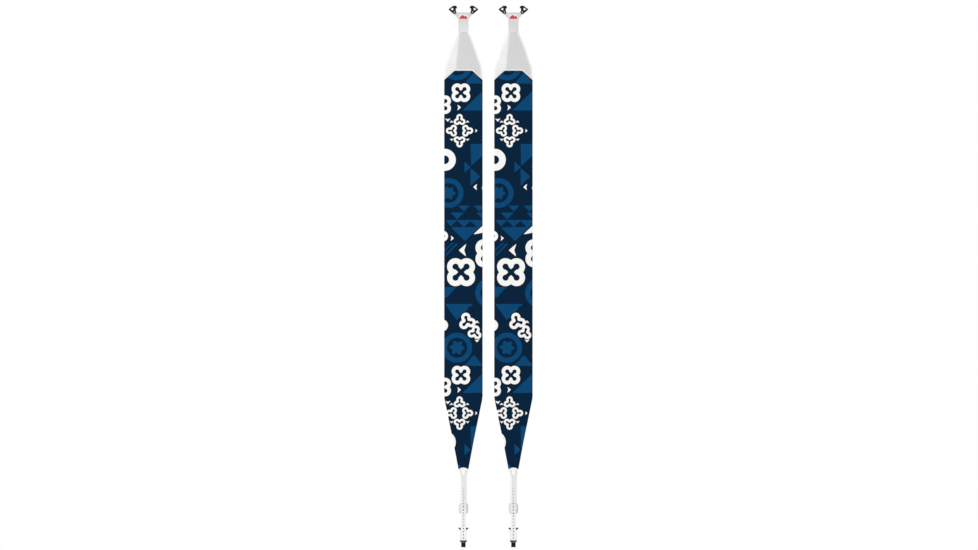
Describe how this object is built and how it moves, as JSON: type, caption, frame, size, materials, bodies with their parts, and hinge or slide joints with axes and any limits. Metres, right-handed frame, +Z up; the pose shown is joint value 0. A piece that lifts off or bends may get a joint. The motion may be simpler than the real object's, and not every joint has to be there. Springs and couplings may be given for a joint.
{
  "type": "climbing skins",
  "caption": "Pair of full-length ski climbing skins: printed plush strips with swivelling tip hooks, and a perforated tail strap with cam buckle, sliding clip and hook.",
  "frame": {"origin": "the hang point: midway between the two skins, at the height of the tip hooks' mouths", "axes": "+X across the pair to the right skin, +Y from the plush to the glue side, +Z up towards the tips"},
  "size_m": [0.2992, 0.0174, 1.8333],
  "materials": {
    "printed_plush": "woven nylon plush with a printed pattern in navy, blue and white",
    "woven_backing": "plain woven polyester",
    "skin_glue": "tacky hot-melt adhesive with a soft sheen",
    "coated_fabric": "ribbed coated fabric, matte",
    "trim_tape": "smooth white edge tape",
    "white_nylon": "moulded nylon, satin",
    "badge_red": "plain printed mark on a label",
    "black_nylon": "glass-filled nylon, satin",
    "steel": "turned stainless steel",
    "soft_tpu": "moulded soft polyurethane, satin",
    "grey_webbing": "woven nylon tape"
  },
  "bodies": {
    "left_upper": {"left_plush_upper": "printed_plush", "left_backing_upper": "woven_backing", "left_glue_upper": "skin_glue", "left_tip_panel_front": "coated_fabric", "left_tip_panel_back": "coated_fabric", "left_tip_trim": "trim_tape", "left_tip_stiffener": "white_nylon", "left_tip_tab": "white_nylon", "left_tip_badge": "badge_red"},
    "left_inner_hook": {"left_inner_tip_hook": "black_nylon", "left_inner_hook_rivet": "steel"},
    "left_outer_hook": {"left_outer_tip_hook": "black_nylon", "left_outer_hook_rivet": "steel"},
    "left_lower": {"left_plush_lower": "printed_plush", "left_backing_lower": "woven_backing", "left_glue_lower": "skin_glue", "left_tail_cap": "white_nylon", "left_inner_cap_rivet": "steel", "left_outer_cap_rivet": "steel", "left_tail_strap": "soft_tpu", "left_strap_webbing": "grey_webbing", "left_buckle_frame": "white_nylon", "left_buckle_pin": "steel"},
    "left_lever": {"left_buckle_lever": "white_nylon"},
    "left_clip": {"left_clip_plate": "black_nylon", "left_clip_keeper": "white_nylon", "left_tail_hook_pin": "steel"},
    "left_claw": {"left_tail_hook": "black_nylon"},
    "right_upper": {"right_plush_upper": "printed_plush", "right_backing_upper": "woven_backing", "right_glue_upper": "skin_glue", "right_tip_panel_front": "coated_fabric", "right_tip_panel_back": "coated_fabric", "right_tip_trim": "trim_tape", "right_tip_stiffener": "white_nylon", "right_tip_tab": "white_nylon", "right_tip_badge": "badge_red"},
    "right_inner_hook": {"right_inner_tip_hook": "black_nylon", "right_inner_hook_rivet": "steel"},
    "right_outer_hook": {"right_outer_tip_hook": "black_nylon", "right_outer_hook_rivet": "steel"},
    "right_lower": {"right_plush_lower": "printed_plush", "right_backing_lower": "woven_backing", "right_glue_lower": "skin_glue", "right_tail_cap": "white_nylon", "right_inner_cap_rivet": "steel", "right_outer_cap_rivet": "steel", "right_tail_strap": "soft_tpu", "right_strap_webbing": "grey_webbing", "right_buckle_frame": "white_nylon", "right_buckle_pin": "steel"},
    "right_lever": {"right_buckle_lever": "white_nylon"},
    "right_clip": {"right_clip_plate": "black_nylon", "right_clip_keeper": "white_nylon", "right_tail_hook_pin": "steel"},
    "right_claw": {"right_tail_hook": "black_nylon"}
  },
  "joints": [
    {"name": "left_outer_hook_swivel", "type": "hinge", "parent": "left_upper", "child": "left_outer_hook", "pos_m": [-0.11525, 0, -0.0082], "axis": [0, 1, 0], "range_deg": [-45, 45]},
    {"name": "left_inner_hook_swivel", "type": "hinge", "parent": "left_upper", "child": "left_inner_hook", "pos_m": [-0.05405, 0, -0.0082], "axis": [0, 1, 0], "range_deg": [-45, 45]},
    {"name": "left_fold", "type": "hinge", "parent": "left_upper", "child": "left_lower", "pos_m": [-0.08465, 0.006, -0.96], "axis": [1, 0, 0], "range_deg": [0, 176]},
    {"name": "left_lever_hinge", "type": "hinge", "parent": "left_lower", "child": "left_lever", "pos_m": [-0.08465, 0.005, -1.679], "axis": [1, 0, 0], "range_deg": [0, 100]},
    {"name": "left_clip_slide", "type": "slide", "parent": "left_lower", "child": "left_clip", "axis": [0, 0, 1], "range_m": [0, 0.042]},
    {"name": "left_tail_hook_swing", "type": "hinge", "parent": "left_clip", "child": "left_claw", "pos_m": [-0.08465, 0.005, -1.7995], "axis": [1, 0, 0], "range_deg": [0, 95]},
    {"name": "right_outer_hook_swivel", "type": "hinge", "parent": "right_upper", "child": "right_outer_hook", "pos_m": [0.11525, 0, -0.0082], "axis": [0, 1, 0], "range_deg": [-45, 45]},
    {"name": "right_inner_hook_swivel", "type": "hinge", "parent": "right_upper", "child": "right_inner_hook", "pos_m": [0.05405, 0, -0.0082], "axis": [0, 1, 0], "range_deg": [-45, 45]},
    {"name": "right_fold", "type": "hinge", "parent": "right_upper", "child": "right_lower", "pos_m": [0.08465, 0.006, -0.96], "axis": [1, 0, 0], "range_deg": [0, 176]},
    {"name": "right_lever_hinge", "type": "hinge", "parent": "right_lower", "child": "right_lever", "pos_m": [0.08465, 0.005, -1.679], "axis": [1, 0, 0], "range_deg": [0, 100]},
    {"name": "right_clip_slide", "type": "slide", "parent": "right_lower", "child": "right_clip", "axis": [0, 0, 1], "range_m": [0, 0.042]},
    {"name": "right_tail_hook_swing", "type": "hinge", "parent": "right_clip", "child": "right_claw", "pos_m": [0.08465, 0.005, -1.7995], "axis": [1, 0, 0], "range_deg": [0, 95]},
    {"name": "right_skin_lift", "type": "slide", "parent": "left_upper", "child": "right_upper", "axis": [0, 0, 1], "range_m": [0, 0.15]}
  ]
}
